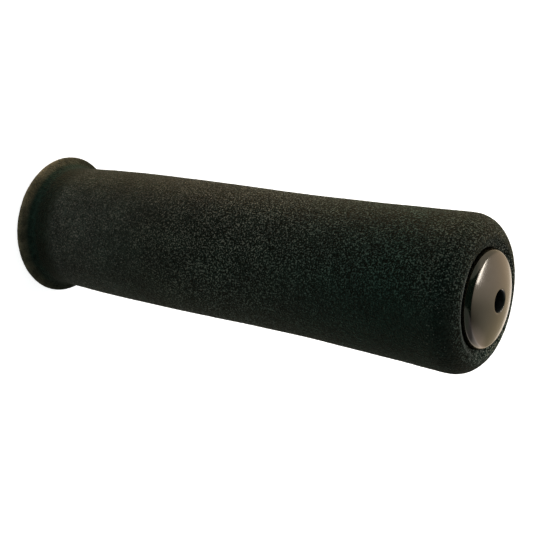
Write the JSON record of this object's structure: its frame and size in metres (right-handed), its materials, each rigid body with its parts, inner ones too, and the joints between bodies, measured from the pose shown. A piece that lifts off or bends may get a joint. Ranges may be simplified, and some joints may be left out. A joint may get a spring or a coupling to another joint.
{
  "type": "handlebar grip",
  "caption": "Round foam handlebar grip with a thin round flange at one end and a domed metallic end plug with a centre hole at the other.",
  "frame": {"origin": "centre of the flange's flat end face, on the grip's axis", "axes": "+Z along the grip's axis, from the flange's end face towards the end plug"},
  "size_m": [0.0376, 0.0376, 0.1326],
  "materials": {
    "foam": "matt, fine-grained closed-cell foam skin",
    "plug_metal": "satin, warm grey"
  },
  "bodies": {
    "root": {"foam_sleeve": "foam", "end_plug": "plug_metal"}
  },
  "joints": []
}
